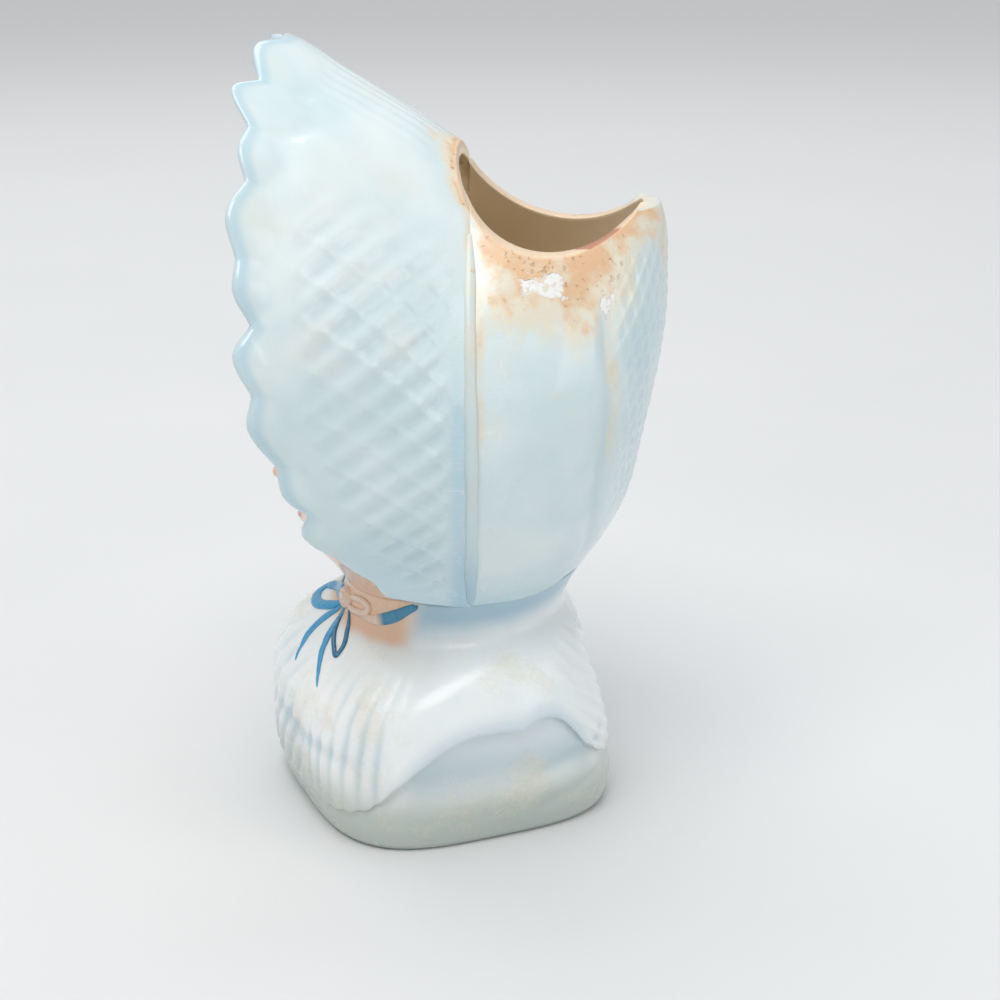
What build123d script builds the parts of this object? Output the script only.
from build123d import *
from math import copysign, cos, pi, radians, sin, sqrt, tan
import os

# A head planter in glazed earthenware: the bust of a child in a quilted bonnet.
# It is slip cast as hollow shells about 3 mm thick, and the shells are luted together
# before firing. The back of the bonnet is cut away in a saddle, and the plant goes in there.
# +Z is up, the figure faces -Y, and the origin is on the floor under the middle of the base.
# The head is turned to the figure's right, so it has a frame of its own.

# Casting
wall = 3.2
seam_wall = 5.0
floor_wall = 4.0
luting_gap = 0.3

# Bust: a squared base under a shoulder cape
bust_height = 39.0
base_width = 60.0
base_depth = 58.0
# Each row: share of bust height, of half base width, of half base depth, centre as a
# share of base depth, and how square the outline is.
plinth_section_shares = (
    (0.0, 0.960, 0.960, 0.000, 3.4),
    (0.12, 1.000, 1.000, 0.000, 3.4),
    (0.36, 0.985, 0.970, -0.010, 3.0),
    (0.60, 0.930, 0.900, -0.010, 2.6),
)
cape_section_shares = (
    (0.0, 0.975, 0.975, 0.000, 3.4),
    (0.10, 1.020, 1.020, 0.000, 3.3),
    (0.30, 1.060, 1.040, -0.012, 2.9),
    (0.52, 1.080, 1.010, -0.025, 2.6),
    (0.70, 1.040, 0.950, -0.025, 2.4),
    (0.84, 0.930, 0.860, 0.005, 2.2),
    (0.93, 0.790, 0.755, 0.035, 2.0),
)
# The hem at each side, from the front: share of base depth, share of bust height
cape_hem_shares = (
    (-0.620, 0.170),
    (-0.460, 0.185),
    (-0.390, 0.310),
    (-0.330, 0.450),
    (-0.200, 0.580),
    (-0.020, 0.635),
    (0.115, 0.640),
    (0.190, 0.560),
    (0.260, 0.430),
    (0.350, 0.310),
    (0.480, 0.270),
    (0.620, 0.270),
)

# Neck and head: the neck is a round stem, and the head turns on it
neck_radius = 20.0
neck_setback = 3.5
neckline_lean = 8.0
neck_lean_share = 0.30
seam_setback = 2.5
head_turn = 22.0

# Seam of the bonnet: the upright oval where its crown and brim meet
seam_half_width = 37.0
seam_top = 123.3
seam_bottom = 33.5
seam_taper = 0.30
seam_bead_radius = 1.2
seam_bead_sink = 0.5
seam_bead_bottom = 46.0
seam_bead_top = 110.0

# Crown of the bonnet, behind the seam
crown_depth = 36.2
rim_height = 113.7
# Each row: share of the height from neckline to seam top, share of the depth, and how
# much of the seam wall the outline stands inside the seam's oval.
crown_section_shares = (
    (0.059, 0.600, 0.0),
    (0.125, 0.695, 0.0),
    (0.208, 0.780, 0.0),
    (0.374, 0.880, 0.0),
    (0.575, 0.967, 0.0),
    (0.741, 1.000, 0.0),
    (0.884, 0.953, 0.0),
    (0.956, 0.856, 0.0),
)
crown_cavity_section_shares = tuple((height, depth, 1.0) for height, depth, _ in crown_section_shares)

# Mouth: the saddle cut across the crown from side to side, a little askew
mouth_setback = 16.8
mouth_half_length = 18.4
mouth_half_depth = 18.0
mouth_centre = 124.5
mouth_skew_share = 0.12
mouth_slope_share = 0.056

# Brim of the bonnet, in front of the seam
brim_depth = 38.5
brim_half_width = 50.0
brim_top = 145.0
brim_bottom = 40.5
brim_swell = 1.2
brim_wall = 3.3
brim_end_height = 42.0
lobe_count = 22
lobe_radius = 7.8
lobe_rise = 3.0
brim_last_angle = 142.0
# Each row: angle round the brim from its top, and share of the brim's depth there
brim_edge_shares = (
    (0.0, 0.84),
    (38.0, 0.95),
    (58.0, 1.000),
    (84.0, 1.000),
    (97.0, 0.950),
    (111.0, 0.835),
    (122.0, 0.740),
    (131.0, 0.620),
    (139.0, 0.440),
    (146.0, 0.200),
)

# Face and front of the neck
face_depth = 33.0
# The rows are laid out like those of the crown.
face_section_shares = (
    (0.059, 0.710, 0.40),
    (0.112, 0.790, 0.53),
    (0.165, 0.900, 0.53),
    (0.230, 0.965, 0.53),
    (0.310, 0.990, 0.53),
    (0.420, 0.980, 0.53),
    (0.535, 0.960, 0.53),
    (0.650, 0.905, 0.53),
    (0.780, 0.765, 0.53),
    (0.880, 0.550, 0.53),
    (0.950, 0.310, 0.53),
)
face_cavity_section_shares = tuple((height, depth, 1.0) for height, depth, _ in face_section_shares[:-1])

# Hair fringe, moulded on the forehead
hair_start = 5.0
hair_bottom = 62.0
hair_window_centre = 68.0
hair_window_half_width = 24.0
hair_window_half_height = 24.0
hair_curl_radius = 4.6
hair_section_shares = (
    (0.165, 0.980, 0.25),
    (0.230, 1.040, 0.25),
    (0.310, 1.070, 0.25),
    (0.420, 1.060, 0.25),
    (0.535, 1.040, 0.25),
    (0.650, 0.985, 0.25),
    (0.780, 0.850, 0.25),
    (0.880, 0.645, 0.25),
    (0.965, 0.380, 0.25),
)
# Notches between the locks along the window's edge: side and rise, in its half sizes
hair_curl_shares = (
    (-0.97, 0.20),
    (-0.80, 0.62),
    (-0.45, 0.90),
    (0.0, 1.03),
    (0.45, 0.90),
    (0.80, 0.62),
    (0.97, 0.20),
)

# Ribbon: straps on the neck, a bow under the chin and its tails on the gown
ribbon_seat = 0.75
bow_side = -0.5
bow_front = 18.5
bow_height = 40.4
bow_lean = 6.0
knot_width = 5.6
knot_height = 4.6
knot_depth = 2.8
knot_corner = 1.3
knot_rounding = 1.0
knot_clearance = 0.1
loop_reach = 14.0
loop_half_height = 3.6
loop_rise = 0.3
loop_tilt = 6.0
loop_sweep = 17.0
loop_relief = 1.1
loop_depth = 2.6
band_height = 2.6
band_width = 2.6
band_thickness = 0.6
band_start = 11.0
tail_width = 2.0
tail_thickness = 0.6
# How far the end of each tail lies from the knot: to the left, and down
tail_end_places = (
    (-6.5, 13.0),
    (1.0, 15.0),
    (7.0, 9.5),
)

points_per_outline = 12
points_per_bust_outline = 20


def head_point(side, back, height):
    """A point given in the head's own frame: to its left, backwards and up."""
    turn = radians(head_turn)
    x = side * cos(turn) + (back + seam_setback) * sin(turn)
    y = -side * sin(turn) + (back + seam_setback) * cos(turn) + neck_setback
    return Vector(x, y, height)


head_left = head_point(1, 0, 0) - head_point(0, 0, 0)
head_back = head_point(0, 1, 0) - head_point(0, 0, 0)
head_plane = Plane(head_point(0, 0, 0), x_dir=head_left, z_dir=(0, 0, 1))
front_plane = Plane(head_point(0, 0, 0), x_dir=head_left, z_dir=-head_back)
side_plane = Plane(head_point(0, 0, 0), x_dir=head_back, z_dir=head_left)

mouth_axis = head_point(1, -mouth_skew_share, mouth_slope_share) - head_point(0, 0, 0)
mouth_plane = Plane(
    head_point(0, 0, 0), x_dir=Vector(0, 0, 1).cross(mouth_axis), z_dir=mouth_axis
)

neckline_to_top = seam_top - bust_height
seam_centre = (seam_top + seam_bottom) / 2
seam_half_height = (seam_top - seam_bottom) / 2
overall_width = 2 * brim_half_width


def outline(
    plane, half_width, half_depth, centre=0.0, squareness=2.0, taper=0.0, count=points_per_outline
):
    """A closed outline: a circle, an ellipse, a squared ellipse or an egg that tapers upwards."""
    points = []
    for step in range(count):
        angle = 2 * pi * step / count
        across = copysign(abs(cos(angle)) ** (2 / squareness), cos(angle))
        along = copysign(abs(sin(angle)) ** (2 / squareness), sin(angle))
        across *= 1 - taper * max(along, 0) ** 2
        points.append((half_width * across, centre + half_depth * along))
    with BuildSketch(plane) as face:
        with BuildLine():
            Spline(*points, periodic=True)
        make_face()
    return face.sketch


def leaning(lean):
    """The upright direction of a section that slopes down to the front by an angle."""
    return Vector(0, -sin(radians(lean)), cos(radians(lean)))


def bust_sections(shares, inset=0.0, floor=0.0):
    """Outlines of the bust, drawn in by inset and with the lowest raised to floor."""
    sections = []
    for height, width, depth, centre, squareness in shares:
        level = (0, 0, max(floor, bust_height * height))
        plane = Plane(level, x_dir=(1, 0, 0), z_dir=leaning(neckline_lean * height**3))
        half_width = base_width / 2 * width - inset
        half_depth = base_depth / 2 * depth - inset
        shift = base_depth * centre
        sections.append(
            outline(plane, half_width, half_depth, shift, squareness, count=points_per_bust_outline)
        )
    return sections


def neck_ring(radius, start, count=points_per_outline):
    """The round outline at the neckline, where bust, face and crown meet."""
    centre = (0, neck_setback, bust_height)
    plane = Plane(centre, x_dir=start, z_dir=leaning(neckline_lean))
    return outline(plane, radius, radius, count=count)


def seam_width_at(height):
    """Half the width of the seam's oval at a height."""
    rise = (height - seam_centre) / seam_half_height
    return seam_half_width * sqrt(1 - rise**2) * (1 - seam_taper * max(rise, 0) ** 2)


def head_sections(shares, depth, inset=0.0):
    """Ovals of the head centred on the seam, above the neck's round outline."""
    sections = [neck_ring(neck_radius - inset, head_left)]
    for height_share, depth_share, inside_share in shares:
        height = bust_height + neckline_to_top * height_share
        lean = neckline_lean * max(0, 1 - height_share / neck_lean_share)
        plane = Plane(head_point(0, 0, height), x_dir=head_left, z_dir=leaning(lean))
        half_width = seam_width_at(height) - seam_wall * inside_share
        half_depth = depth * depth_share - inset
        sections.append(outline(plane, half_width, half_depth))
    return sections


def brim_oval(share, inset=0.0):
    """Half width, half height and centre of the brim's oval at a share of its depth."""
    swell = 4 * brim_swell * share * (1 - share)
    half_width = seam_half_width + (brim_half_width - seam_half_width) * share + swell
    top = seam_top + (brim_top - seam_top) * share + swell
    bottom = seam_bottom + (brim_bottom - seam_bottom) * share - swell
    return half_width - inset, (top - bottom) / 2 - inset, (top + bottom) / 2


def brim_sections(inset_at_seam, inset_in_front):
    """Upright ovals of the brim from the seam to just past its edge."""
    sections = []
    for share in (0.0, 0.25, 0.6, 1.1):
        inset = min(inset_in_front, inset_at_seam + (inset_in_front - inset_at_seam) * share * 4)
        half_width, half_height, centre = brim_oval(share, inset)
        plane = front_plane.offset(brim_depth * share)
        taper = seam_taper * max(0, 1 - share)
        sections.append(outline(plane, half_width, half_height, centre, taper=taper))
    return sections


def brim_edge(angle):
    """A point of the brim's edge line, at an angle from its top, positive to the left."""
    rows = brim_edge_shares
    for (low, low_share), (high, high_share) in zip(rows, rows[1:]):
        if abs(angle) <= high:
            break
    share = low_share + (high_share - low_share) * (abs(angle) - low) / (high - low)
    half_width, half_height, centre = brim_oval(share)
    rise = cos(radians(angle))
    side = half_width * sin(radians(angle)) * (1 - seam_taper * (1 - share) * max(rise, 0) ** 2)
    return head_point(side, -brim_depth * share, centre + half_height * rise)


def edge_frames():
    """Evenly spaced places along the brim's edge: point, outward way and edge-ward way."""
    steps = 400
    angles = [brim_last_angle * (2 * i / steps - 1) for i in range(steps + 1)]
    points = [brim_edge(a) for a in angles]
    run = [0.0]
    for here, there in zip(points, points[1:]):
        run.append(run[-1] + (there - here).length)
    frames = []
    for lobe in range(lobe_count):
        goal = run[-1] * (lobe + 0.5) / lobe_count
        i = min(range(steps), key=lambda k: abs(run[k] - goal))
        half_width, half_height, centre = brim_oval(1.0)
        angle = radians(angles[i])
        outward = head_left * (sin(angle) / half_width) + Vector(0, 0, cos(angle) / half_height)
        outward = outward.normalized()
        along = (points[i + 1] - points[i]).normalized()
        edgeward = along.cross(outward).normalized()
        if edgeward.dot(head_back) > 0:
            edgeward = -edgeward
        frames.append((points[i], outward, edgeward))
    return frames


os.makedirs("parts", exist_ok=True)

# The bust: a hollow casting, closed underneath. A cape lies over the squared base, and its
# hem rises in an arch at each side.
with BuildPart() as cape:
    loft(
        sections=bust_sections(cape_section_shares)
        + [neck_ring(neck_radius, (1, 0, 0), points_per_bust_outline)]
    )
    with BuildSketch(Plane.YZ):
        hem = [(base_depth * along, bust_height * height) for along, height in cape_hem_shares]
        with BuildLine():
            Spline(*hem)
            Polyline(hem[-1], (hem[-1][0], -floor_wall), (hem[0][0], -floor_wall), hem[0])
        make_face()
    extrude(amount=base_width, both=True, mode=Mode.SUBTRACT)

with BuildPart() as bust_form:
    loft(
        sections=bust_sections(plinth_section_shares)
        + [neck_ring(neck_radius, (1, 0, 0), points_per_bust_outline)]
    )
    add(cape.part)

with BuildPart() as gown_bust:
    add(bust_form.part)
    loft(
        sections=bust_sections(plinth_section_shares, wall, floor_wall)
        + [neck_ring(neck_radius - wall, (1, 0, 0), points_per_bust_outline)],
        mode=Mode.SUBTRACT,
    )
gown_bust.part.label = "gown_bust"
export_step(gown_bust.part, "parts/gown_bust.step")


def mouth_cut():
    """The saddle that is cut across the head for the plant."""
    with BuildSketch(mouth_plane) as mouth:
        with Locations((mouth_setback, mouth_centre)):
            Ellipse(mouth_half_length, mouth_half_depth)
    return mouth.sketch


# The crown: the back of the head in its cap, from the neckline to the mouth.
with BuildPart() as crown_form:
    loft(sections=head_sections(crown_section_shares, crown_depth))

with BuildPart() as bonnet_crown:
    add(crown_form.part)
    loft(
        sections=head_sections(crown_cavity_section_shares, crown_depth, wall),
        mode=Mode.SUBTRACT,
    )
    split(bisect_by=front_plane, keep=Keep.BOTTOM)
    split(bisect_by=Plane.XY.offset(rim_height), keep=Keep.BOTTOM)
    extrude(to_extrude=mouth_cut(), amount=overall_width, both=True, mode=Mode.SUBTRACT)
bonnet_crown.part.label = "bonnet_crown"
export_step(bonnet_crown.part, "parts/bonnet_crown.step")

# The face and the front of the neck: a thin casting that closes the head in front.
with BuildPart() as face_form:
    loft(sections=head_sections(face_section_shares, face_depth))

with BuildPart() as neck_and_face:
    add(face_form.part)
    loft(
        sections=head_sections(face_cavity_section_shares, face_depth, wall),
        mode=Mode.SUBTRACT,
    )
    split(bisect_by=front_plane, keep=Keep.TOP)
    extrude(to_extrude=mouth_cut(), amount=overall_width, both=True, mode=Mode.SUBTRACT)
neck_and_face.part.label = "neck_and_face"
export_step(neck_and_face.part, "parts/neck_and_face.step")

# The brim: a flaring collar round the face, scalloped along its edge.
with BuildPart() as beyond_edge:
    frames = edge_frames()
    cusp_line = [side_plane.to_local_coords(p - e * lobe_rise) for p, r, e in frames[: lobe_count // 2]]
    line = [(p.X, p.Y) for p in cusp_line]
    with BuildSketch(side_plane):
        with BuildLine():
            Spline(*line)
            top = (line[-1][0], brim_top + brim_depth)
            front = (-2 * brim_depth, brim_top + brim_depth)
            below = (-2 * brim_depth, 0)
            back = (luting_gap, 0)
            Polyline(line[-1], top, front, below, back, (luting_gap, brim_end_height), line[0])
        make_face()
    extrude(amount=overall_width, both=True)
    for point, outward, edgeward in frames:
        centre = point - edgeward * lobe_radius - outward * brim_half_width / 2
        with Locations(Plane(centre, z_dir=outward)):
            Cylinder(
                lobe_radius,
                brim_half_width,
                align=(Align.CENTER, Align.CENTER, Align.MIN),
                mode=Mode.SUBTRACT,
            )

with BuildPart() as brim_form:
    loft(sections=brim_sections(0, 0))

with BuildPart() as bonnet_brim:
    add(brim_form.part)
    loft(sections=brim_sections(seam_wall / 2 - luting_gap / 2, brim_wall), mode=Mode.SUBTRACT)
    add(beyond_edge.part, mode=Mode.SUBTRACT)
    extrude(to_extrude=mouth_cut(), amount=overall_width, both=True, mode=Mode.SUBTRACT)
bonnet_brim.part.label = "bonnet_brim"
export_step(bonnet_brim.part, "parts/bonnet_brim.step")


def seam_bead(side):
    """A bead of slip along one side of the seam, from above the nape to the mouth."""
    steps = 12
    points = []
    for step in range(steps + 1):
        height = seam_bead_bottom + (seam_bead_top - seam_bead_bottom) * step / steps
        points.append(head_point(side * (seam_width_at(height) - seam_bead_sink), 0, height))
    with BuildLine() as path:
        Spline(*points)
    with BuildSketch(Plane(points[0], z_dir=path.line % 0)) as section:
        Circle(seam_bead_radius)
    return section.sketch, path.line


# The beads that stand up along the seam at each side, like the welt of a sewn bonnet.
with BuildPart() as seam_bead_left:
    section, path = seam_bead(1)
    sweep(sections=section, path=path)
    add(crown_form.part, mode=Mode.SUBTRACT)
    add(brim_form.part, mode=Mode.SUBTRACT)
seam_bead_left.part.label = "seam_bead_left"
export_step(seam_bead_left.part, "parts/seam_bead_left.step")

with BuildPart() as seam_bead_right:
    section, path = seam_bead(-1)
    sweep(sections=section, path=path)
    add(crown_form.part, mode=Mode.SUBTRACT)
    add(brim_form.part, mode=Mode.SUBTRACT)
seam_bead_right.part.label = "seam_bead_right"
export_step(seam_bead_right.part, "parts/seam_bead_right.step")

# The fringe of hair round the face, inside the brim: low curls laid on the forehead.
with BuildPart() as hair_fringe:
    loft(sections=head_sections(hair_section_shares, face_depth)[1:])
    split(bisect_by=front_plane.offset(hair_start), keep=Keep.TOP)
    add(face_form.part, mode=Mode.SUBTRACT)
    with BuildSketch(front_plane):
        with Locations((0, hair_window_centre)):
            Ellipse(hair_window_half_width, hair_window_half_height)
        for side_share, rise_share in hair_curl_shares:
            curl = (
                hair_window_half_width * side_share,
                hair_window_centre + hair_window_half_height * rise_share,
            )
            with Locations(curl):
                Circle(hair_curl_radius)
        with Locations((0, hair_bottom)):
            Rectangle(2 * overall_width, overall_width, align=(Align.CENTER, Align.MAX))
    extrude(amount=overall_width, mode=Mode.SUBTRACT)
    extrude(to_extrude=mouth_cut(), amount=overall_width, both=True, mode=Mode.SUBTRACT)
hair_fringe.part.label = "hair_fringe"
export_step(hair_fringe.part, "parts/hair_fringe.step")

# The ribbon is moulded in low relief. Its band runs round the front of the neck from the
# brim's lower corners, and the bow lies over it: a knot, and a flat loop at each side that
# is swept back with the roundness of the neck.
bow_centre = (bow_side, -bow_front, bow_height)
neckline = Plane((0, neck_setback, bust_height), x_dir=(1, 0, 0), z_dir=leaning(neckline_lean))
with BuildPart() as neck_form:
    with Locations(neckline):
        Cylinder(neck_radius + ribbon_seat, bust_height, align=(Align.CENTER, Align.CENTER, Align.MIN))

with BuildPart() as neck_band:
    with BuildSketch(neckline.offset(band_height)):
        Circle(neck_radius + ribbon_seat + band_thickness)
        Circle(neck_radius + ribbon_seat, mode=Mode.SUBTRACT)
    extrude(amount=band_width)
    split(bisect_by=front_plane.offset(band_start), keep=Keep.TOP)

with BuildPart() as bow_knot:
    with Locations((bow_side, -bow_front - knot_clearance, bow_height)):
        Box(knot_width, knot_depth, knot_height, align=(Align.CENTER, Align.MAX, Align.CENTER))
    fillet(bow_knot.edges().filter_by(Axis.Y), radius=knot_corner)
    fillet(bow_knot.faces().sort_by(Axis.Y)[0].edges(), radius=knot_rounding)
bow_knot.part.label = "bow_knot"
export_step(bow_knot.part, "parts/bow_knot.step")


def bow_loop(side):
    """One loop of the bow before it is fitted to the neck: a flat oval, a little raised."""
    sweep_back = side * radians(loop_sweep)
    along = Vector(cos(sweep_back), sin(sweep_back), 0)
    outward = Vector(sin(sweep_back), -cos(sweep_back), tan(radians(bow_lean)))
    with BuildSketch(Plane(bow_centre, x_dir=along, z_dir=outward)) as shape:
        with Locations(Location((side * loop_reach / 2, loop_rise, 0), (0, 0, side * loop_tilt))):
            Ellipse(loop_reach / 2, loop_half_height)
    return shape.sketch


with BuildPart() as bow_loop_left:
    extrude(to_extrude=bow_loop(1), amount=loop_relief)
    extrude(to_extrude=bow_loop(1), amount=-loop_depth)
    split(bisect_by=Plane.YZ.offset(bow_side), keep=Keep.TOP)
    add(neck_form.part, mode=Mode.SUBTRACT)
    add(neck_band.part, mode=Mode.SUBTRACT)
    add(bow_knot.part, mode=Mode.SUBTRACT)
bow_loop_left.part.label = "bow_loop_left"
export_step(bow_loop_left.part, "parts/bow_loop_left.step")

with BuildPart() as bow_loop_right:
    extrude(to_extrude=bow_loop(-1), amount=loop_relief)
    extrude(to_extrude=bow_loop(-1), amount=-loop_depth)
    split(bisect_by=Plane.YZ.offset(bow_side), keep=Keep.BOTTOM)
    add(neck_form.part, mode=Mode.SUBTRACT)
    add(neck_band.part, mode=Mode.SUBTRACT)
    add(bow_knot.part, mode=Mode.SUBTRACT)
bow_loop_right.part.label = "bow_loop_right"
export_step(bow_loop_right.part, "parts/bow_loop_right.step")

with BuildPart() as ribbon_strap_left:
    add(neck_band.part)
    split(bisect_by=Plane.YZ.offset(bow_side), keep=Keep.TOP)
ribbon_strap_left.part.label = "ribbon_strap_left"
export_step(ribbon_strap_left.part, "parts/ribbon_strap_left.step")

with BuildPart() as ribbon_strap_right:
    add(neck_band.part)
    split(bisect_by=Plane.YZ.offset(bow_side), keep=Keep.BOTTOM)
ribbon_strap_right.part.label = "ribbon_strap_right"
export_step(ribbon_strap_right.part, "parts/ribbon_strap_right.step")


def tail_outline(across, down):
    """One tail seen from the front: a strip from the knot to a place on the gown."""
    reach = Vector(across, -down)
    edge = reach.normalized().rotate(Axis.Z, 90) * tail_width / 2
    with BuildSketch(Plane(bow_centre, x_dir=(1, 0, 0), z_dir=(0, -1, 0))) as strip:
        with BuildLine():
            Polyline(
                (edge.X, edge.Y),
                (reach.X + edge.X, reach.Y + edge.Y),
                (reach.X - edge.X, reach.Y - edge.Y),
                (-edge.X, -edge.Y),
                close=True,
            )
        make_face()
    return strip.sketch


# The ribbon's tails: three strips in low relief that follow the front of the gown. They are
# cut from one thin skin over the cape.
with BuildPart() as gown_skin:
    loft(
        sections=bust_sections(cape_section_shares, -tail_thickness)
        + [neck_ring(neck_radius + tail_thickness, (1, 0, 0), points_per_bust_outline)]
    )
    add(bust_form.part, mode=Mode.SUBTRACT)

with BuildPart() as ribbon_tail_right:
    add(gown_skin.part)
    extrude(to_extrude=tail_outline(*tail_end_places[0]), amount=base_depth, mode=Mode.INTERSECT)
ribbon_tail_right.part.label = "ribbon_tail_right"
export_step(ribbon_tail_right.part, "parts/ribbon_tail_right.step")

with BuildPart() as ribbon_tail_middle:
    add(gown_skin.part)
    extrude(to_extrude=tail_outline(*tail_end_places[1]), amount=base_depth, mode=Mode.INTERSECT)
ribbon_tail_middle.part.label = "ribbon_tail_middle"
export_step(ribbon_tail_middle.part, "parts/ribbon_tail_middle.step")

with BuildPart() as ribbon_tail_left:
    add(gown_skin.part)
    extrude(to_extrude=tail_outline(*tail_end_places[2]), amount=base_depth, mode=Mode.INTERSECT)
ribbon_tail_left.part.label = "ribbon_tail_left"
export_step(ribbon_tail_left.part, "parts/ribbon_tail_left.step")
